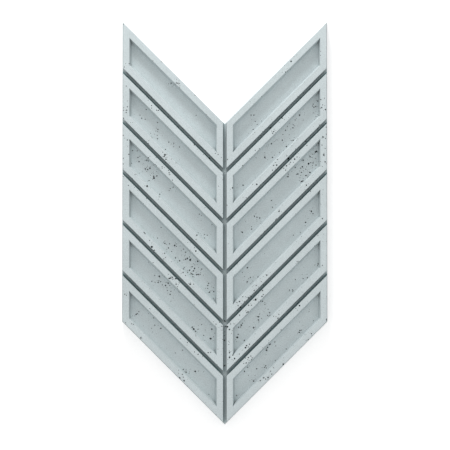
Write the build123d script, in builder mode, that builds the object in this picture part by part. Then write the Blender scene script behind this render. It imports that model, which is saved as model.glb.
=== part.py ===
"""Chevron wall panel of cast concrete, in one piece.

An arrow-shaped slab whose face is cut by a straight groove down the middle and by sloping grooves into two
columns of raised frames, each with a sunken tray inside it. Every cast wall leans by the mould's draft.

The panel lies on its back: the back is on z = 0 and the face looks up (+Z). +Y points to the notched end,
away from the tip, and +X to the right of the face. The origin is the middle of the back's bounding box.
"""

import os
from math import cos, radians, tan

from build123d import *

# Driving dimensions, in millimetres and degrees
face_width = 402.0  # across the raised face, from side to side
row_pitch = 100.0  # from one row of frames to the next, along the panel
row_count = 6
arm_slope = 45.0  # how steeply each row falls from the side to the middle
thickness = 30.0  # from the back to the face
groove_depth = 19.0  # from the face down to the floors of the grooves
tray_depth = 16.0  # from the face down to the floors of the trays
spine_groove = 7.2  # groove down the middle, its width at the face
row_groove = 7.5  # groove between two rows, its width at the face and square to it
stile_width = 12.4  # upright member of a frame, at the face
rail_width = 12.2  # sloping member of a frame, at the face and square to it
side_draft = 4.6  # lean of the panel's sides from the upright
tray_draft = 12.0  # lean of the trays' walls
groove_draft = 3.0  # lean of the grooves' walls
arris_bevel = 0.4  # small bevel along each edge of the face
cut_overrun = 10.0  # how far a groove's cutter passes the panel's sides

# What follows from them
slope = tan(radians(arm_slope))
upright = 1 / cos(radians(arm_slope))  # length along Y of a size measured square to an arm
half_face = face_width / 2
groove_span = row_groove * upright
rail_span = rail_width * upright
side_length = row_count * row_pitch - groove_span
side_lean = thickness * tan(radians(side_draft))  # how far the back stands out past the face
tip_y = -(side_length + (half_face + side_lean) * slope) / 2
notch_y = tip_y + side_length
tray_inner = spine_groove / 2 + stile_width
tray_outer = half_face - stile_width
tray_span = row_pitch - groove_span - 2 * rail_span
cut_reach = half_face + side_lean + cut_overrun

face_plane = Plane.XY.offset(thickness)


def arm_outline(inner_x, outer_x, foot_y, span):
    """Outline of a sloping band right of the middle; its lower edge would meet the middle at foot_y."""
    return Polyline(
        (inner_x, foot_y + inner_x * slope),
        (outer_x, foot_y + outer_x * slope),
        (outer_x, foot_y + outer_x * slope + span),
        (inner_x, foot_y + inner_x * slope + span),
        close=True,
    )


with BuildPart() as concrete_panel:
    # Slab: the face's arrow outline, leaning outwards down to the back
    with BuildSketch(face_plane):
        with BuildLine():
            arm_outline(0, half_face, tip_y, side_length)
        make_face()
        mirror(about=Plane.YZ)
    extrude(amount=-thickness, taper=-side_draft)

    # Grooves between the rows: a band on each side, open at the panel's sides
    with BuildSketch(face_plane):
        for row in range(1, row_count):
            with BuildLine():
                arm_outline(0, cut_reach, tip_y + row * row_pitch - groove_span, groove_span)
            make_face()
        mirror(about=Plane.YZ)
    extrude(amount=-groove_depth, taper=groove_draft, mode=Mode.SUBTRACT)

    # Groove down the middle, from the tip to the notch
    with BuildSketch(face_plane):
        with Locations((0, (tip_y + notch_y) / 2)):
            Rectangle(spine_groove, side_length + 2 * (side_lean + cut_overrun) * upright)
    extrude(amount=-groove_depth, taper=groove_draft, mode=Mode.SUBTRACT)

    # Trays: one in each frame
    with BuildSketch(face_plane):
        for row in range(row_count):
            with BuildLine():
                arm_outline(tray_inner, tray_outer, tip_y + row * row_pitch + rail_span, tray_span)
            make_face()
        mirror(about=Plane.YZ)
    extrude(amount=-tray_depth, taper=tray_draft, mode=Mode.SUBTRACT)

    # Arrises: every edge of the face is taken off a little
    chamfer(concrete_panel.edges().group_by(Axis.Z)[-1], length=arris_bevel)

concrete_panel.part.label = "concrete_panel"

os.makedirs("parts", exist_ok=True)
export_step(concrete_panel.part, "parts/concrete_panel.step")
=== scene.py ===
"""Looks of the chevron wall panel: matt cast concrete with open air pores, under soft light, seen from above.

Sizes are in metres unless a comment says otherwise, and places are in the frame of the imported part: the back
lies on z = 0 and the face looks up.
"""

from math import radians

import bmesh
import bpy
import numpy as np
from mathutils import Matrix, Vector, noise
from mathutils.bvhtree import BVHTree


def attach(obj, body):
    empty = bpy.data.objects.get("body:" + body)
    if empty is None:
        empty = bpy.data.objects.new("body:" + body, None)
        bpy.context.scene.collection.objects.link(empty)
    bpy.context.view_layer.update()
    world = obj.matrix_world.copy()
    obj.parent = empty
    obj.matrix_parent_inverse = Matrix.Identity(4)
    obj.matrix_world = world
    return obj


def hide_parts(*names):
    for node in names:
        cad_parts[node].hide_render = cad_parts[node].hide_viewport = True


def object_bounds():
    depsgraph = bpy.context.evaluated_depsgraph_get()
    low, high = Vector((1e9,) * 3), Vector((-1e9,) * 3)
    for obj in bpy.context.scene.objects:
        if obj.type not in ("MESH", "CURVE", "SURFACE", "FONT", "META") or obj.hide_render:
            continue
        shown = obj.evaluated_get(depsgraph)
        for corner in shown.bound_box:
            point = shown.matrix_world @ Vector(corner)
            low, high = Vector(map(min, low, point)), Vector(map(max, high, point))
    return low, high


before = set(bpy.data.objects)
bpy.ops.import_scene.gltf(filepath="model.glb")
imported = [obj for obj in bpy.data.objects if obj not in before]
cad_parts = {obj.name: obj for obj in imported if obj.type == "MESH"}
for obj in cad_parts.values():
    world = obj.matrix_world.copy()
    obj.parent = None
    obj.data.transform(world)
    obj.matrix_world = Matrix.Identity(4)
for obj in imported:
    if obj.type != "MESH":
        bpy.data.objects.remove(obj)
cad_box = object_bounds()
scene = bpy.context.scene
scene.view_settings.view_transform = "Standard"

MM = 0.001
PANEL = "concrete_panel"
LEVEL = 0.99  # least upward part of a level face's normal
SAME_PLACE = 0.1 * MM  # places nearer to each other than this are the same
DECIMALS = 5  # of a metre, to tell places apart
face_z = cad_box[1].z


def floor_heights(node):
    """Heights of the level floors below the face, lowest first: the grooves' and the trays'."""
    level = [polygon for polygon in node.data.polygons if polygon.normal.z > LEVEL]
    heights = sorted({round(polygon.center.z, DECIMALS) for polygon in level})
    return [height for height in heights if height < face_z - SAME_PLACE]


def groove_rows(node):
    """Where the lowest sloping groove's floor starts and ends along Y, and where the next one starts.

    The rows fall at 45 degrees, so each place is given as if the groove went on to x = 0.
    """
    corners = [vertex.co for vertex in node.data.vertices if abs(vertex.co.z - groove_floor_z) < SAME_PLACE]
    outer = max(corner.x for corner in corners)
    at_side = [corner for corner in corners if corner.x > outer - SAME_PLACE]
    return sorted({round(corner.y - corner.x, DECIMALS) for corner in at_side})[:3]


groove_floor_z, tray_floor_z = floor_heights(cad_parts[PANEL])
groove_low, groove_high, next_groove = groove_rows(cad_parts[PANEL])

# View: where the photo's eye is
PHOTO_SIZE = 450  # pixels, both ways
PIXEL = 1.9715 * MM  # length on the face that one pixel shows
ORIGIN_PIXEL = (224.8, 222.05)  # where the face shows above the panel's origin
EYE_DISTANCE = 4.1  # from the middle of the picture
EYE_LEAN = Matrix.Rotation(radians(1.9), 3, "X")  # the eye is a little nearer to the tip
SENSOR = 36.0  # millimetres, both ways

# Light: a soft sky that is dim towards the horizon, a lamp beyond the notched end, a weak one beyond the tip
SKY_COLOUR = (1, 1, 1, 1)
SKY_STRENGTH = 0.766
HORIZON_STRENGTH = 0.05
SKY_STARTS, SKY_FULL = 0.30, 0.45  # where the strength rises, as sines of the height
KEY_PLACE = (-0.28, 2.10, 0.76)
KEY_POWER = 34.5  # watts
FILL_PLACE = (0.0, -1.60, 0.85)
FILL_POWER = 2.3
LAMP_SIZE = 0.7

# Floor
FLOOR_SIZE = 12.0
FLOOR_COLOUR = (0.78, 0.78, 0.78, 1)
FLOOR_LIFT = (0.46, 0.46, 0.46, 1)  # added where the eye sees the floor, so that it is white
FLOOR_ROUGHNESS = 0.9

# Concrete
CONCRETE_COLOUR = (0.606, 0.676, 0.689, 1)
CONCRETE_SHEEN = 0.25
DULL_SHEEN = 0.1  # of the pores and the floor
WALL_SHADE = 0.9  # painted shade: steep sides are a little darker than the level faces
WALL_RISE = (0.1, 0.35)  # square of the normal's upward part, where that painted shade is full and where it ends
CORNER_SHADE = 0.62  # painted shade: the trays' sharp corners are darker than the faces too
CORNER_REACH = 12 * MM  # how near the sides of a sharp corner have to be to each other, for its painted shade
CORNER_OPEN = (0.15, 0.42)  # how open a place is where that painted shade is full and where it ends

# Painted shade in the grooves: a darker, bluer colour on their floors, where shadow falls
GROOVE_SHADE_COLOUR = (0.22, 0.365, 0.38, 1)
SHADE_FULL, SHADE_ENDS = 0.28, 0.52  # how far across a sloping groove's floor the painted shade is full and where it ends, as shares of its width
SHADE_THIN = 0.12  # how much of the painted shade is on the rest of that floor
SHADE_RISE = (0.8, 0.95)  # the normal's upward part, where a floor starts to take the painted shade and where it takes all of it
SPINE_SHADE = 0.4  # how much painted shade is on the left side of the groove down the middle
SPINE_FADE = 1 * MM  # it thins out from so far left of the middle to so far right of it
SPINE_SIDE, SPINE_REACH = 3.6 * MM, 4 * MM  # where that groove's painted shade starts to end and where it ends
CROSSING_REACH = 12 * MM  # from the middle to where a sloping groove's painted shade is full
CROSSING_ENDS = 1.5  # how far up the middle a crossing thins the painted shade, as a share of a sloping groove's width

# Textures: noise cells to the metre, detail, a stretch of the noise's values, and what it is turned into
CLOUDS = (13, 4.0, (0.3, 0.7), (0.965, 1.03))
MOTTLING = (85, 3.0, (0.3, 0.7), (0.98, 1.018))
GRAIN = (560, 2.0, (0.25, 0.75), (0.87, 1.12))
SPECKS = (420, 1.0, (0.70, 0.78), (1.0, 0.86))
ROUGHNESS = (160, 3.0, (0.3, 0.7), (0.78, 0.92))
PORE_TONES = (500, 3.0, (0.3, 0.7), (0.6, 1.35))
FADING, RISING = (1.0, 0.0), (0.0, 1.0)

# Relief of the surface: noise cells to the metre and detail
FINE_RELIEF = (1400, 2.0)
COARSE_RELIEF = (260, 2.0)
RELIEF_STRENGTH = 0.35
RELIEF_DEPTH = 0.12 * MM

# Strokes of the trowel on the back, which run across the panel
TROWEL_NOISE = (50, 3.0, (0.12, 1, 1))  # cells to the metre, detail, and shares of the cells along X, Y and Z
TROWEL_TONES = ((0.3, 0.7), (1.0, 0.9))  # a stretch of the noise's values, and what it is turned into
TROWEL_DEPTH = 2.5  # as a share of the other relief's
BACK_RISE = (-0.9, -0.5)  # the normal's upward part, where the strokes are full and where they end

# Pores: mouth across, in millimetres
LARGE, MEDIUM, SMALL, FINE = 4.5, 3.0, 2.15, 1.5
MOUTH_SHARES = (0.88, 1.12)  # mouth of a pore of one of these sizes, as shares of that size
TINY = (1.0, 1.9)  # pores that lie around a larger one
TINY_COUNT = (2, 6)  # how many around each one, from the first to below the second
TINY_SPREAD = 2.8  # pixels
ROUND_FROM = 0.9 * SMALL  # from this mouth on, a pore's mesh is finer
LOWEST = 1 * MM  # pores placed by the photo lie higher than this
# painted shade: a near-black colour stands for the shadow deep inside the pores
PORE_SHADE_COLOUR = (0.06, 0.075, 0.08, 1)
PORE_ROUGHNESS = 0.95
SEED = 11

# Strewn pores: how many are tried, and from how wide to how wide they are, in millimetres
FACE_PORES = (700, (0.7, 1.1))
BACK_PORES = (300, (1.2, 4.0))
SIDE_PORES = (60, (0.8, 2.0))  # for each of the four directions
ARRIS_CHIPS = (160, (0.8, 2.4))
ARRIS_TURN = 0.2  # least turn of the surface at an arris, in radians
STREWN_SHARES = (0.6, 1.0)  # mouth of a strewn pore, as shares of the width drawn for it
DRIFT_CELLS, FINE_DRIFT_CELLS = 16, 45  # noise cells to the metre of the drifts that they lie in
FINE_DRIFT = 0.6  # strength of the finer drifts
DRIFT_EDGE = -0.05  # pores lie where the drifts' noise is above this
DOWN, UP = (0, 0, -1), (0, 0, 1)
SIDEWAYS = ((1, 0, 0), (-1, 0, 0), (0, 1, 0), (0, -1, 0))

# Bubbles that leave the pores
SWELL = (1.06, 1.3)  # radius, as shares of half the mouth
STRETCH = (0.84, 1.16)  # along each of the bubble's own axes
DENT = 0.22  # how far the wall goes in and out, as a share of the radius
DENT_CELLS = 1.7  # noise cells to the radius
DENT_SHIFT = 900  # noise cells to the metre between bubbles, so that each has dents of its own
LAYERS = 4  # turns in which the bubbles are cut out
BUBBLE_GAP = 0.05 * MM  # least gap between bubbles of one turn
WELD = 0.001 * MM  # corners of the mesh nearer to each other than this become one

# Pores that stand out, read off the photo: pixels from its left and from its top
PORES = {
    LARGE: [
        # left column, from the top
        (151.9, 137.1), (164.9, 154.7), (154.0, 178.1), (147.0, 186.1), (151.9, 246.8), (190.2, 260.0),
        (193.8, 329.1), (210.7, 338.6),
        # right column, from the top
        (288.3, 158.4), (308.6, 163.7), (255.6, 299.6), (260.5, 301.2), (237.2, 337.4), (269.7, 344.1),
    ],
    MEDIUM: [
        # left column: rows 1 to 3
        (171.4, 83.0), (175.1, 84.2), (177.8, 83.3), (126.7, 110.2), (157.9, 129.5), (166.0, 159.3),
        (164.2, 156.5), (209.5, 158.2),
        (137.9, 157.6), (138.9, 161.7), (146.7, 160.2), (153.7, 165.0), (145.4, 168.9), (147.7, 169.6),
        (149.9, 168.3), (160.7, 171.0), (156.8, 176.0), (153.7, 176.2), (170.2, 188.6), (159.6, 194.5),
        (196.8, 235.2), (195.7, 251.0),
        # left column: rows 4 to 6
        (154.4, 250.4), (164.9, 243.3), (174.7, 245.5), (168.4, 248.0), (185.6, 252.2), (175.5, 258.0),
        (179.6, 260.8), (185.4, 259.3), (187.3, 258.4), (197.7, 261.3), (192.3, 266.7), (194.4, 268.4),
        (183.5, 269.1), (189.5, 270.3), (193.3, 270.9), (183.1, 272.6), (191.2, 273.7), (192.6, 274.3),
        (196.8, 274.7), (198.4, 274.4), (208.7, 283.3), (209.4, 292.3), (213.7, 291.6), (215.4, 297.9),
        (190.2, 284.2), (159.3, 276.5), (158.2, 282.3), (165.6, 285.5), (168.1, 283.1), (170.2, 294.4),
        (169.1, 278.4), (170.6, 278.0), (172.3, 277.2), (175.8, 278.6), (176.1, 284.2), (178.9, 291.9),
        (147.4, 310.2), (136.1, 314.4), (160.8, 328.4), (140.9, 337.9), (192.2, 327.3), (195.6, 331.3),
        (211.8, 329.1), (195.2, 371.4), (186.1, 372.3), (179.5, 378.2), (184.0, 380.7),
        # groove down the middle
        (224.6, 320.8), (225.9, 326.3), (224.4, 340.3), (224.6, 365.6),
        # right column: rows 1 to 3
        (291.1, 61.4), (287.6, 70.9), (253.1, 129.4), (317.8, 101.0), (315.7, 106.6), (325.5, 109.4),
        (318.8, 115.3), (299.5, 115.0), (293.3, 116.3), (292.9, 127.8), (270.4, 128.0), (264.1, 131.4),
        (273.6, 131.7), (282.3, 140.2), (293.2, 140.3), (271.5, 143.7), (286.5, 146.5), (264.8, 157.4),
        (272.5, 157.4), (276.7, 165.1), (294.6, 159.1), (286.5, 165.8), (315.6, 152.0), (316.6, 151.3),
        (310.0, 156.7), (303.4, 160.2), (316.0, 165.1), (302.3, 166.8), (295.3, 167.5), (310.0, 172.4),
        (296.6, 174.3), (297.9, 174.0), (305.8, 175.6), (307.6, 177.3), (287.9, 176.6), (301.8, 181.3),
        (303.0, 181.1), (323.0, 137.0), (323.7, 154.9), (325.1, 161.9), (306.5, 185.1), (243.0, 185.2),
        (256.7, 184.4), (232.9, 187.9), (279.0, 211.3), (256.9, 217.2), (259.7, 218.0),
        # right column: rows 4 to 6
        (242.3, 232.3), (311.3, 211.3), (305.6, 222.4), (247.4, 267.7), (250.5, 277.5), (247.4, 281.7),
        (258.1, 277.0), (266.7, 275.1), (254.2, 290.5), (262.0, 296.5), (239.5, 301.5), (241.3, 325.2),
        (248.2, 297.5), (318.2, 263.8), (307.3, 277.5), (240.6, 307.4), (248.0, 311.9), (283.4, 364.2),
        (245.9, 316.1), (258.5, 316.8), (258.5, 320.0), (269.7, 312.6), (277.8, 318.2), (238.5, 327.4),
        (253.6, 327.7), (227.4, 326.7), (229.4, 329.5), (244.4, 340.3), (246.6, 345.6), (245.5, 347.7),
        (229.5, 352.8), (229.7, 357.5), (234.6, 358.6), (267.6, 347.3), (266.5, 350.2), (248.3, 357.5),
        (246.2, 363.0), (244.4, 371.2), (256.7, 368.7), (264.4, 367.3), (253.6, 381.0), (263.4, 377.9),
        (268.0, 377.5), (311.4, 333.7), (308.3, 339.6), (299.9, 330.5), (299.2, 332.3), (299.5, 305.6),
    ],
    SMALL: [
        # left column: rows 1 and 2
        (123.4, 24.2), (124.2, 67.0), (170.6, 84.0), (173.0, 82.5), (174.0, 84.0), (176.4, 83.0),
        (179.4, 83.4),
        (196.1, 115.4), (151.6, 105.6), (151.6, 108.1), (156.8, 110.2), (158.5, 110.4), (126.3, 86.1),
        (127.4, 106.7),
        (123.5, 110.5), (126.2, 112.5), (146.3, 109.5), (140.0, 115.1), (141.8, 118.2), (145.3, 119.3),
        (157.5, 122.5), (156.5, 128.1), (157.2, 135.4), (157.5, 138.6), (168.8, 142.1), (173.7, 143.2),
        (173.7, 146.7), (179.6, 147.0), (165.3, 149.5), (148.1, 143.5), (167.0, 157.2), (215.4, 153.3),
        (218.2, 154.4), (221.4, 157.5), (123.2, 135.4), (127.4, 140.0), (123.5, 118.2),
        # left column: row 3
        (128.8, 154.4), (123.5, 158.2), (123.2, 163.9), (132.6, 150.5), (137.2, 150.9), (131.6, 163.4),
        (148.4, 160.9), (148.1, 158.5), (149.1, 180.5), (135.1, 174.6), (165.6, 175.6), (173.0, 187.2),
        (204.9, 207.5), (162.1, 166.8), (168.4, 170.3), (169.1, 172.8), (169.8, 174.6), (172.6, 180.2),
        (169.1, 165.1), (165.9, 162.6), (128.4, 185.4), (199.3, 214.2), (201.4, 215.6), (211.9, 224.7),
        (198.2, 232.8), (196.1, 239.4), (204.5, 234.5), (207.3, 235.2), (204.5, 238.0),
        # left column: row 4
        (161.0, 227.6), (144.2, 232.4), (157.5, 238.1), (149.5, 240.5), (169.5, 243.8), (176.3, 246.4),
        (171.6, 251.4), (183.5, 249.2), (190.2, 252.9), (189.6, 256.9), (164.5, 253.4), (165.4, 257.5),
        (163.8, 258.9), (184.2, 267.4), (187.7, 272.3), (200.0, 274.4), (201.7, 269.1), (193.0, 276.8),
        (185.6, 275.4), (207.7, 285.6), (207.7, 288.4), (215.8, 296.1), (193.7, 284.2),
        # left column: row 5
        (153.0, 262.6), (154.7, 275.3), (164.5, 276.5), (151.9, 281.4), (155.1, 282.4), (160.7, 281.7),
        (162.4, 284.9), (171.6, 284.3), (167.0, 287.7), (167.4, 290.5), (170.9, 291.4), (168.4, 274.4),
        (177.5, 286.7), (144.2, 282.8), (124.8, 294.2), (126.6, 295.2), (201.7, 324.5), (203.6, 335.4),
        (215.1, 349.6), (216.1, 324.2), (219.6, 322.1), (221.7, 326.3), (208.2, 352.6), (210.7, 352.3),
        # left column: row 6
        (138.9, 311.6), (137.2, 313.7), (153.7, 317.9), (154.7, 325.2), (151.6, 328.4), (131.6, 323.8),
        (133.3, 324.4), (125.6, 322.8), (143.9, 333.3), (187.4, 342.4), (182.6, 350.2), (175.2, 353.0),
        (192.4, 355.8), (194.5, 351.9), (198.0, 354.4), (183.3, 369.5), (186.1, 370.0), (182.3, 374.4),
        (183.3, 377.2), (208.9, 394.4),
        # groove down the middle
        (225.2, 321.6), (224.4, 335.6),
        # right column: rows 1 and 2
        (227.4, 159.3), (290.7, 69.5), (285.8, 72.3), (251.1, 115.1), (253.9, 115.1), (255.3, 121.4),
        (257.1, 124.5), (320.9, 99.6), (324.4, 98.2), (313.2, 104.2), (312.5, 105.9), (313.9, 107.3),
        (322.7, 104.9), (321.6, 107.6), (318.8, 111.2), (316.0, 116.5), (315.0, 119.3), (326.2, 123.5),
        (295.3, 114.1), (295.3, 119.9), (293.2, 124.8), (287.6, 126.4), (282.3, 118.2), (281.3, 117.2),
        (285.5, 130.3), (283.0, 134.6), (272.5, 133.2), (255.3, 150.3), (279.5, 152.4), (277.4, 159.5),
        (275.3, 162.3), (273.6, 165.4), (272.5, 170.3), (286.9, 156.0), (246.2, 197.7), (227.6, 159.5),
        # right column: row 3
        (305.8, 141.2), (297.1, 157.0), (299.5, 157.7), (299.9, 150.3), (306.9, 145.4), (290.4, 162.3),
        (289.3, 164.0), (283.7, 168.2), (285.5, 170.3), (318.5, 145.4), (315.7, 158.4), (302.0, 160.2),
        (313.2, 162.3), (310.7, 162.6), (318.8, 161.6), (312.5, 165.4), (294.3, 165.8), (300.6, 168.2),
        (305.8, 169.3), (301.6, 172.4), (288.3, 174.2), (322.0, 138.1), (325.5, 138.4), (326.5, 134.2),
        (326.2, 127.2), (322.0, 145.1), (325.1, 148.4), (267.6, 192.4), (271.5, 200.4), (272.5, 207.3),
        (254.4, 216.2), (251.6, 226.7), (251.6, 229.1), (237.5, 224.2),
        # right column: row 4
        (313.0, 213.6), (298.0, 212.7), (322.4, 218.6), (300.3, 232.4), (293.3, 235.1), (317.9, 235.4),
        (242.4, 268.4), (242.4, 272.3), (256.2, 285.5), (258.6, 287.0), (242.8, 296.6), (244.7, 301.7),
        (236.9, 302.6), (238.0, 305.6),
        # right column: row 5
        (242.6, 323.2), (261.4, 281.6), (295.4, 279.6),
        (308.7, 252.6), (318.9, 249.1), (297.2, 261.7), (317.5, 265.6), (322.4, 265.6), (303.1, 278.6),
        (289.5, 290.1), (292.3, 289.8), (292.8, 291.2), (262.5, 290.5), (263.3, 294.5), (251.2, 296.5),
        (253.8, 300.2), (262.4, 301.3), (264.9, 304.6), (248.5, 305.2), (251.5, 305.3), (237.8, 310.5),
        (246.6, 312.6), (239.5, 315.1), (257.4, 316.8), (267.6, 315.4), (269.7, 315.4), (278.8, 314.4),
        (276.0, 316.8), (239.5, 322.8), (240.6, 327.0), (234.4, 327.6), (230.4, 324.0), (231.5, 333.2),
        (238.1, 334.4), (234.0, 341.0), (228.8, 344.5), (249.4, 344.2), (248.3, 347.0), (232.6, 355.2),
        (239.4, 354.0),
        # right column: row 6
        (309.0, 311.6), (274.6, 342.1), (275.7, 345.9), (275.3, 336.8), (286.2, 349.1), (260.6, 352.3),
        (250.8, 356.1), (252.2, 357.9), (251.5, 359.6), (243.7, 363.5), (247.6, 367.3), (265.8, 365.6),
        (266.2, 368.0), (273.6, 367.7), (271.8, 374.0), (265.5, 378.9), (260.2, 380.7), (270.4, 371.2),
        (301.6, 330.2), (297.8, 333.0), (293.6, 345.2), (275.3, 360.3), (313.5, 320.7), (236.6, 395.4),
    ],
    FINE: [
        # left column
        (148.1, 82.5), (125.6, 63.5), (160.4, 105.3), (148.1, 100.4), (161.0, 102.1), (127.4, 101.0),
        (134.0, 114.0), (162.5, 135.4), (171.2, 143.9), (148.8, 140.7), (197.2, 149.5), (212.0, 148.8),
        (127.4, 146.0), (124.6, 138.2), (154.4, 159.2), (130.5, 122.5), (132.6, 122.5), (142.1, 159.1),
        (142.4, 171.4), (134.7, 166.8), (144.2, 181.2), (150.2, 188.2), (139.3, 173.2), (168.4, 190.3),
        (164.5, 167.5), (168.1, 174.2), (134.4, 187.5), (137.5, 190.3), (197.9, 217.3), (201.0, 220.5),
        (200.3, 233.5), (201.4, 235.2), (210.8, 234.5), (187.7, 242.6), (195.6, 246.8), (153.3, 237.3),
        (151.9, 242.3), (175.4, 242.8), (180.0, 246.1), (181.7, 255.2), (162.4, 253.8), (218.6, 186.1),
        (138.6, 251.0), (200.7, 272.6), (203.5, 275.1), (198.6, 267.4), (217.2, 298.6), (211.2, 286.3),
        (190.5, 282.4), (171.6, 261.4), (148.4, 262.4), (153.7, 285.2), (163.5, 287.0), (177.5, 288.4),
        (179.3, 283.5), (127.0, 293.2), (152.5, 331.9), (134.4, 321.4), (143.5, 325.9), (198.6, 325.6),
        (200.0, 319.6), (213.4, 340.7), (187.1, 345.2), (180.6, 338.6), (213.3, 321.7), (218.9, 327.7),
        (218.0, 349.1), (199.8, 352.3), (189.6, 371.9), (178.4, 373.3), (178.8, 370.2), (225.1, 351.9),
        # right column
        (293.9, 56.5), (296.7, 55.1), (282.3, 72.3), (250.1, 101.4), (251.5, 119.6), (261.6, 121.0),
        (315.7, 111.2), (320.2, 120.3), (289.3, 123.1), (284.4, 119.6), (279.2, 122.4), (303.3, 109.1),
        (271.8, 119.6), (303.0, 120.5), (289.3, 134.6), (283.4, 142.6), (271.8, 152.4), (271.1, 164.0),
        (289.7, 167.2), (281.6, 168.9), (312.5, 157.4), (316.7, 161.9), (300.6, 175.6), (297.4, 164.4),
        (322.3, 166.5), (313.2, 126.5), (313.2, 177.3), (300.9, 187.2), (255.3, 178.1), (243.0, 197.3),
        (230.4, 189.3), (275.9, 204.7), (233.9, 217.5), (303.2, 215.3), (323.0, 189.6), (322.7, 194.2),
        (256.8, 219.6), (245.6, 221.4), (228.2, 243.8), (309.8, 210.5), (305.2, 225.6), (301.4, 236.5),
        (323.8, 234.0), (322.8, 241.7), (296.1, 263.5), (289.1, 291.2), (293.7, 290.4), (301.7, 287.0),
        (264.5, 253.7), (263.5, 276.5), (250.5, 303.8), (252.2, 286.7), (245.2, 296.8), (264.1, 311.6),
        (273.6, 316.5), (279.2, 310.5), (236.4, 325.6), (236.7, 341.7), (229.7, 342.4), (262.0, 367.7),
        (258.5, 381.7), (296.4, 338.9), (299.5, 322.1), (297.4, 310.2), (301.3, 335.8), (283.4, 357.9),
    ],
}


# Camera
def make_camera():
    """Camera at the photo's eye."""
    data = bpy.data.cameras.new("camera")
    data.sensor_width = SENSOR
    data.lens = SENSOR * EYE_DISTANCE / (PHOTO_SIZE * PIXEL)
    camera = bpy.data.objects.new("camera", data)
    across = (PHOTO_SIZE / 2 - ORIGIN_PIXEL[0]) * PIXEL
    along = (ORIGIN_PIXEL[1] - PHOTO_SIZE / 2) * PIXEL
    camera.location = Vector((across, along, face_z)) + EYE_LEAN @ Vector((0, 0, EYE_DISTANCE))
    camera.rotation_euler = EYE_LEAN.to_euler()
    scene.collection.objects.link(camera)
    scene.camera = camera
    return camera


def photo_ray(x, y):
    """Direction from the eye through a pixel of the photo."""
    middle = PHOTO_SIZE / 2
    return EYE_LEAN @ Vector(((x - middle) * PIXEL, (middle - y) * PIXEL, -EYE_DISTANCE)).normalized()


# Mesh of the panel
def welded_copy(source, name):
    """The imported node's mesh as one closed skin, without its split corners."""
    cage = bmesh.new()
    cage.from_mesh(source.data)
    bmesh.ops.remove_doubles(cage, verts=cage.verts, dist=WELD)
    bmesh.ops.dissolve_degenerate(cage, edges=cage.edges, dist=WELD)
    mesh = bpy.data.meshes.new(name)
    for face in cage.faces:
        face.material_index = 0
        face.smooth = False
    cage.to_mesh(mesh)
    cage.free()
    for layer in ("custom_normal", "sharp_face", "sharp_edge"):
        if layer in mesh.attributes:
            mesh.attributes.remove(mesh.attributes[layer])
    return mesh


def surface_of(mesh):
    """Search tree over a mesh, for finding where a ray meets it."""
    points = [vertex.co.copy() for vertex in mesh.vertices]
    return BVHTree.FromPolygons(points, [polygon.vertices[:] for polygon in mesh.polygons])


def unit_ball(subdivisions):
    """Points and triangles of a ball of radius 1."""
    cage = bmesh.new()
    bmesh.ops.create_icosphere(cage, subdivisions=subdivisions, radius=1)
    points = np.array([vertex.co for vertex in cage.verts])
    triangles = np.array([[vertex.index for vertex in face.verts] for face in cage.faces])
    cage.free()
    return points, triangles


BALLS = {"coarse": unit_ball(1), "round": unit_ball(2)}


def bubble(draw, hit, normal, mouth):
    """An uneven bubble that opens through the surface at hit; mouth is how wide it opens, in millimetres."""
    points, triangles = BALLS["round" if mouth >= ROUND_FROM else "coarse"]
    opening = mouth * MM / 2
    radius = opening * draw.uniform(*SWELL)
    sink = (radius**2 - opening**2) ** 0.5
    turn = np.linalg.qr(draw.normal(size=(3, 3)))[0]
    stretch = draw.uniform(*STRETCH, size=3)
    shift = Vector(hit) * DENT_SHIFT
    dents = 1 + DENT * np.array([noise.noise(Vector(point * DENT_CELLS) + shift) for point in points])
    shape = ((points * dents[:, None] * stretch) @ turn.T) * radius
    centre = np.array(hit) - np.array(normal) * sink
    reach = np.linalg.norm(shape, axis=1).max()
    return {"centre": centre, "reach": reach, "points": shape + centre, "triangles": triangles}


def placed_bubbles(draw, surface, eye):
    """Bubbles where the photo shows pores."""
    found = []
    for mouth, pixels in PORES.items():
        for x, y in pixels:
            hit, normal, _, _ = surface.ray_cast(eye, photo_ray(x, y))
            if hit is not None and hit.z > LOWEST:
                found.append(bubble(draw, hit, normal, mouth * draw.uniform(*MOUTH_SHARES)))
    return found


def tiny_bubbles(draw, surface, eye, mouths):
    """Tiny bubbles strewn around the pores of some sizes."""
    found = []
    for x, y in (pixel for mouth in mouths for pixel in PORES[mouth]):
        for _ in range(draw.integers(*TINY_COUNT)):
            step = draw.normal(scale=TINY_SPREAD, size=2)
            hit, normal, _, _ = surface.ray_cast(eye, photo_ray(x + step[0], y + step[1]))
            if hit is not None and hit.z > LOWEST:
                found.append(bubble(draw, hit, normal, draw.uniform(*TINY)))
    return found


def scattered_bubbles(draw, surface, towards, count, mouths):
    """Bubbles in drifts over every surface that is seen along a direction."""
    low, high = (np.array(corner) for corner in cad_box)
    towards = Vector(towards)
    found = []
    for _ in range(count):
        start = Vector(draw.uniform(low, high)) - towards
        mouth = draw.uniform(*mouths) * draw.uniform(*STREWN_SHARES)
        hit, normal, _, _ = surface.ray_cast(start, towards)
        if hit is None:
            continue
        drifts = noise.noise(hit * DRIFT_CELLS) + FINE_DRIFT * noise.noise(hit * FINE_DRIFT_CELLS)
        if drifts > DRIFT_EDGE:
            found.append(bubble(draw, hit, normal, mouth))
    return found


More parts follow.
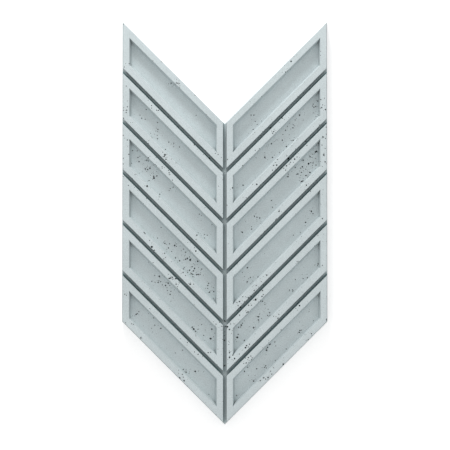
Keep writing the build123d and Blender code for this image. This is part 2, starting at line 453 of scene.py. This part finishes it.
def arris_chips(draw, mesh, count, mouths):
    """Bubbles that chip the edges of the face here and there; most of them are small."""
    cage = bmesh.new()
    cage.from_mesh(mesh)
    edges = []
    for edge in cage.edges:
        on_face = min(vertex.co.z for vertex in edge.verts) > face_z - SAME_PLACE
        if on_face and edge.calc_face_angle() > ARRIS_TURN:
            normal = (edge.link_faces[0].normal + edge.link_faces[1].normal).normalized()
            edges.append((edge.verts[0].co.copy(), edge.verts[1].co.copy(), normal))
    cage.free()
    lengths = np.array([(end - start).length for start, end, _ in edges])
    smallest, largest = mouths
    found = []
    for pick in draw.choice(len(edges), size=count, p=lengths / lengths.sum()):
        start, end, normal = edges[pick]
        mouth = smallest + (largest - smallest) * draw.uniform() ** 2
        found.append(bubble(draw, start.lerp(end, draw.uniform()), normal, mouth))
    return found


def in_layers(bubbles):
    """Sorts bubbles into layers in which none touches another; what fits in none is left out."""
    layers = [[] for _ in range(LAYERS)]
    for item in bubbles:
        for layer in layers:
            centres = np.array([other["centre"] for other in layer]).reshape(-1, 3)
            reaches = np.array([other["reach"] for other in layer])
            gaps = np.linalg.norm(centres - item["centre"], axis=1) - reaches - item["reach"]
            if (gaps > BUBBLE_GAP).all():
                layer.append(item)
                break
    return [layer for layer in layers if layer]


def joined_mesh(bubbles, name):
    """All bubbles of a layer as one mesh, with the pore material."""
    points = np.concatenate([item["points"] for item in bubbles])
    starts = np.cumsum([0] + [len(item["points"]) for item in bubbles[:-1]])
    triangles = np.concatenate([item["triangles"] + start for item, start in zip(bubbles, starts)])
    mesh = bpy.data.meshes.new(name)
    mesh.from_pydata(points.tolist(), [], triangles.tolist())
    mesh.polygons.foreach_set("material_index", [1] * len(mesh.polygons))
    return mesh


def cut(panel, mesh):
    """Takes a closed mesh out of the panel."""
    cutter = bpy.data.objects.new(mesh.name, mesh)
    scene.collection.objects.link(cutter)
    for material in panel.data.materials:
        mesh.materials.append(material)
    boolean = panel.modifiers.new("pores", "BOOLEAN")
    boolean.operation = "DIFFERENCE"
    boolean.solver = "MANIFOLD"
    boolean.material_mode = "INDEX"
    boolean.object = cutter
    result = bpy.data.meshes.new_from_object(panel.evaluated_get(bpy.context.evaluated_depsgraph_get()))
    panel.modifiers.remove(boolean)
    panel.data = result
    bpy.data.objects.remove(cutter)


def shade_pores(mesh):
    """Smooth shading inside the pores and flat shading elsewhere."""
    inside = np.zeros(len(mesh.polygons), int)
    mesh.polygons.foreach_get("material_index", inside)
    mesh.polygons.foreach_set("use_smooth", inside == 1)
    mesh.update()


def make_panel(camera):
    """The cast panel with its pores."""
    mesh = welded_copy(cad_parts[PANEL], "cast_panel")
    panel = bpy.data.objects.new("cast_panel", mesh)
    scene.collection.objects.link(panel)
    mesh.materials.append(concrete_material())
    mesh.materials.append(pore_material())
    surface = surface_of(mesh)
    draw = np.random.default_rng(SEED)
    bubbles = placed_bubbles(draw, surface, camera.location)
    bubbles += scattered_bubbles(draw, surface, DOWN, *FACE_PORES)
    bubbles += scattered_bubbles(draw, surface, UP, *BACK_PORES)
    for direction in SIDEWAYS:
        bubbles += scattered_bubbles(draw, surface, direction, *SIDE_PORES)
    bubbles += arris_chips(draw, mesh, *ARRIS_CHIPS)
    bubbles += tiny_bubbles(draw, surface, camera.location, (LARGE, MEDIUM))
    for number, layer in enumerate(in_layers(bubbles)):
        cut(panel, joined_mesh(layer, f"bubbles_{number}"))
    shade_pores(panel.data)
    return panel


# Materials
class Nodes:
    """The nodes of a material or a sky, with short ways to add and link them."""

    def __init__(self, owner, shader="Principled BSDF"):
        owner.use_nodes = True
        self.tree = owner.node_tree
        self.shader = self.tree.nodes[shader]

    def add(self, kind, **settings):
        """A new node with some settings."""
        node = self.tree.nodes.new(kind)
        for key, value in settings.items():
            setattr(node, key, value)
        return node

    def link(self, output, socket):
        """Joins one node's output to another's socket."""
        self.tree.links.new(output, socket)

    def place(self):
        """The place on the object, in metres."""
        return self.add("ShaderNodeTexCoord").outputs["Object"]

    def parts(self, vector):
        """The X, Y and Z of a vector."""
        node = self.add("ShaderNodeSeparateXYZ")
        self.link(vector, node.inputs["Vector"])
        return node.outputs

    def facing_up(self):
        """1 on a level face, 0 on an upright wall and -1 on the back."""
        return self.parts(self.add("ShaderNodeNewGeometry").outputs["True Normal"])["Z"]

    def seen(self):
        """1 where the eye sees a place, straight, mirrored or through glass, and 0 for the light it gives."""
        path = self.add("ShaderNodeLightPath")
        mirrored = self.math("MAXIMUM", path.outputs["Is Glossy Ray"], path.outputs["Is Transmission Ray"])
        return self.math("MAXIMUM", path.outputs["Is Camera Ray"], mirrored)

    def noise(self, cells, detail, stretch=(1, 1, 1)):
        """Noise between 0 and 1 with so many cells to the metre, drawn out where stretch is small."""
        mapping = self.add("ShaderNodeMapping")
        mapping.inputs["Scale"].default_value = stretch
        self.link(self.place(), mapping.inputs["Vector"])
        node = self.add("ShaderNodeTexNoise")
        node.inputs["Scale"].default_value = cells
        node.inputs["Detail"].default_value = detail
        self.link(mapping.outputs["Vector"], node.inputs["Vector"])
        return node.outputs["Fac"]

    def texture(self, cells, detail, values, results):
        """Noise whose stretch of values is turned into a stretch of results."""
        return self.span(self.noise(cells, detail), values, results)

    def span(self, value, values, results):
        """A value's stretch turned into a stretch of results, and held at its ends."""
        node = self.add("ShaderNodeMapRange")
        sockets = ("From Min", "From Max", "To Min", "To Max")
        for socket, number in zip(sockets, (*values, *results)):
            node.inputs[socket].default_value = number
        self.link(value, node.inputs["Value"])
        return node.outputs["Result"]

    def math(self, operation, *values):
        """The result of an operation on outputs or plain numbers."""
        node = self.add("ShaderNodeMath", operation=operation)
        for socket, value in zip(node.inputs, values):
            if isinstance(value, float):
                socket.default_value = value
            else:
                self.link(value, socket)
        return node.outputs["Value"]

    def product(self, first, *others):
        """All values multiplied."""
        for value in others:
            first = self.math("MULTIPLY", first, value)
        return first

    def shaded(self, colour, factor):
        """A colour times a factor."""
        node = self.add("ShaderNodeVectorMath", operation="SCALE")
        if isinstance(colour, tuple):
            node.inputs["Vector"].default_value = colour[:3]
        else:
            self.link(colour, node.inputs["Vector"])
        self.link(factor, node.inputs["Scale"])
        return node.outputs["Vector"]

    def blend(self, first, second, share):
        """From one colour to another, as the share goes from 0 to 1."""
        node = self.add("ShaderNodeMix", data_type="RGBA")
        sockets = {socket.identifier: socket for socket in (*node.inputs, *node.outputs)}
        sockets["A_Color"].default_value = first
        sockets["B_Color"].default_value = second
        self.link(share, sockets["Factor_Float"])
        return sockets["Result_Color"]


def groove_painted_shade(nodes, facing_up):
    """How much painted shade a groove's floor takes: most on the lower side of a sloping groove, none at a
    crossing.
    """
    place = nodes.parts(nodes.place())
    aside = nodes.math("ABSOLUTE", place["X"])
    above_first = nodes.math("SUBTRACT", nodes.math("SUBTRACT", place["Y"], aside), groove_low)
    in_row = nodes.math("FLOORED_MODULO", above_first, next_groove - groove_low)
    width = groove_high - groove_low
    lower_side = nodes.span(in_row, (SHADE_FULL * width, SHADE_ENDS * width), (1.0, SHADE_THIN))
    past_crossing = nodes.span(aside, (SPINE_REACH, CROSSING_REACH), RISING)
    row_shade = nodes.product(lower_side, past_crossing)
    left_side = nodes.span(place["X"], (-SPINE_FADE, SPINE_FADE), (SPINE_SHADE, 0.0))
    in_spine = nodes.span(aside, (SPINE_SIDE, SPINE_REACH), FADING)
    between_rows = nodes.span(in_row, (width, CROSSING_ENDS * width), RISING)
    spine_shade = nodes.product(left_side, in_spine, between_rows)
    low_down = nodes.span(place["Z"], (groove_floor_z, tray_floor_z), FADING)
    level = nodes.span(facing_up, SHADE_RISE, RISING)
    return nodes.product(nodes.math("MAXIMUM", row_shade, spine_shade), low_down, level)


def corner_depth(nodes):
    """How deep in a sharp corner a place above the grooves lies, from 0 to 1, which sets the painted shade
    there.
    """
    crevice = nodes.add("ShaderNodeAmbientOcclusion")
    crevice.inputs["Distance"].default_value = CORNER_REACH
    enclosed = nodes.span(crevice.outputs["AO"], CORNER_OPEN, FADING)
    high_up = nodes.span(nodes.parts(nodes.place())["Z"], (groove_floor_z, tray_floor_z), RISING)
    return nodes.product(enclosed, high_up)


def concrete_material():
    """Pale blue-grey cement of uneven colour, with painted shade that darkens steep sides, sharp corners and
    the grooves.
    """
    material = bpy.data.materials.new("concrete")
    nodes = Nodes(material)
    facing_up = nodes.facing_up()
    on_back = nodes.span(facing_up, BACK_RISE, FADING)
    trowel = nodes.product(nodes.noise(*TROWEL_NOISE), on_back)
    smears = nodes.span(trowel, *TROWEL_TONES)
    # painted shade: steep sides darker than the level faces
    wall_shade = nodes.span(nodes.product(facing_up, facing_up), WALL_RISE, (WALL_SHADE, 1.0))
    # painted shade in the trays' sharp corners, where the surroundings close in
    corners = nodes.span(corner_depth(nodes), (0.0, 1.0), (1.0, CORNER_SHADE))
    textures = [nodes.texture(*texture) for texture in (CLOUDS, MOTTLING, GRAIN, SPECKS)]
    tone_and_shade = nodes.product(*textures, smears, wall_shade, corners)
    # painted shade in the grooves: the concrete's colour turns darker and bluer on their floors
    colour = nodes.blend(CONCRETE_COLOUR, GROOVE_SHADE_COLOUR, groove_painted_shade(nodes, facing_up))
    nodes.link(nodes.shaded(colour, tone_and_shade), nodes.shader.inputs["Base Color"])
    nodes.link(nodes.texture(*ROUGHNESS), nodes.shader.inputs["Roughness"])
    nodes.shader.inputs["Specular IOR Level"].default_value = CONCRETE_SHEEN
    relief = nodes.math("ADD", nodes.noise(*FINE_RELIEF), nodes.noise(*COARSE_RELIEF))
    relief = nodes.math("ADD", relief, nodes.product(trowel, TROWEL_DEPTH))
    bump = nodes.add("ShaderNodeBump")
    bump.inputs["Strength"].default_value = RELIEF_STRENGTH
    bump.inputs["Distance"].default_value = RELIEF_DEPTH
    nodes.link(relief, bump.inputs["Height"])
    nodes.link(bump.outputs["Normal"], nodes.shader.inputs["Normal"])
    return material


def pore_material():
    """The inside of a pore: rough cement, painted near-black as the shade deep in the hole."""
    material = bpy.data.materials.new("pore")
    nodes = Nodes(material)
    nodes.link(nodes.shaded(PORE_SHADE_COLOUR, nodes.texture(*PORE_TONES)), nodes.shader.inputs["Base Color"])
    nodes.shader.inputs["Roughness"].default_value = PORE_ROUGHNESS
    nodes.shader.inputs["Specular IOR Level"].default_value = DULL_SHEEN
    return material


def floor_material():
    """Pale matt floor that shows white to the eye and still takes a shadow."""
    material = bpy.data.materials.new("floor")
    nodes = Nodes(material)
    nodes.shader.inputs["Base Color"].default_value = FLOOR_COLOUR
    nodes.shader.inputs["Roughness"].default_value = FLOOR_ROUGHNESS
    nodes.shader.inputs["Specular IOR Level"].default_value = DULL_SHEEN
    nodes.shader.inputs["Emission Color"].default_value = FLOOR_LIFT
    nodes.link(nodes.seen(), nodes.shader.inputs["Emission Strength"])
    return material


# Stage
def make_floor():
    """Level floor under the panel."""
    half = FLOOR_SIZE / 2
    corners = [(-half, -half, 0), (half, -half, 0), (half, half, 0), (-half, half, 0)]
    mesh = bpy.data.meshes.new("floor")
    mesh.from_pydata(corners, [], [(0, 1, 2, 3)])
    mesh.materials.append(floor_material())
    floor = bpy.data.objects.new("floor", mesh)
    scene.collection.objects.link(floor)


def make_sky():
    """Sky that lights from above and little from the horizon, and shows white behind the floor."""
    sky = bpy.data.worlds.new("sky")
    nodes = Nodes(sky, "Background")
    nodes.shader.inputs["Color"].default_value = SKY_COLOUR
    height = nodes.parts(nodes.add("ShaderNodeTexCoord").outputs["Generated"])["Z"]
    light = nodes.span(height, (SKY_STARTS, SKY_FULL), (HORIZON_STRENGTH, SKY_STRENGTH))
    nodes.link(nodes.math("MAXIMUM", light, nodes.seen()), nodes.shader.inputs["Strength"])
    scene.world = sky


def make_lamp(name, place, power):
    """A round soft lamp that points at the middle of the face."""
    data = bpy.data.lights.new(name, "AREA")
    data.shape = "DISK"
    data.size = LAMP_SIZE
    data.energy = power
    lamp = bpy.data.objects.new(name, data)
    lamp.location = place
    lamp.rotation_euler = (Vector((0, 0, face_z)) - Vector(place)).to_track_quat("-Z", "Y").to_euler()
    scene.collection.objects.link(lamp)


make_floor()
make_sky()
make_lamp("key", KEY_PLACE, KEY_POWER)
make_lamp("fill", FILL_PLACE, FILL_POWER)
panel = make_panel(make_camera())
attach(panel, "root")
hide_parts(PANEL)
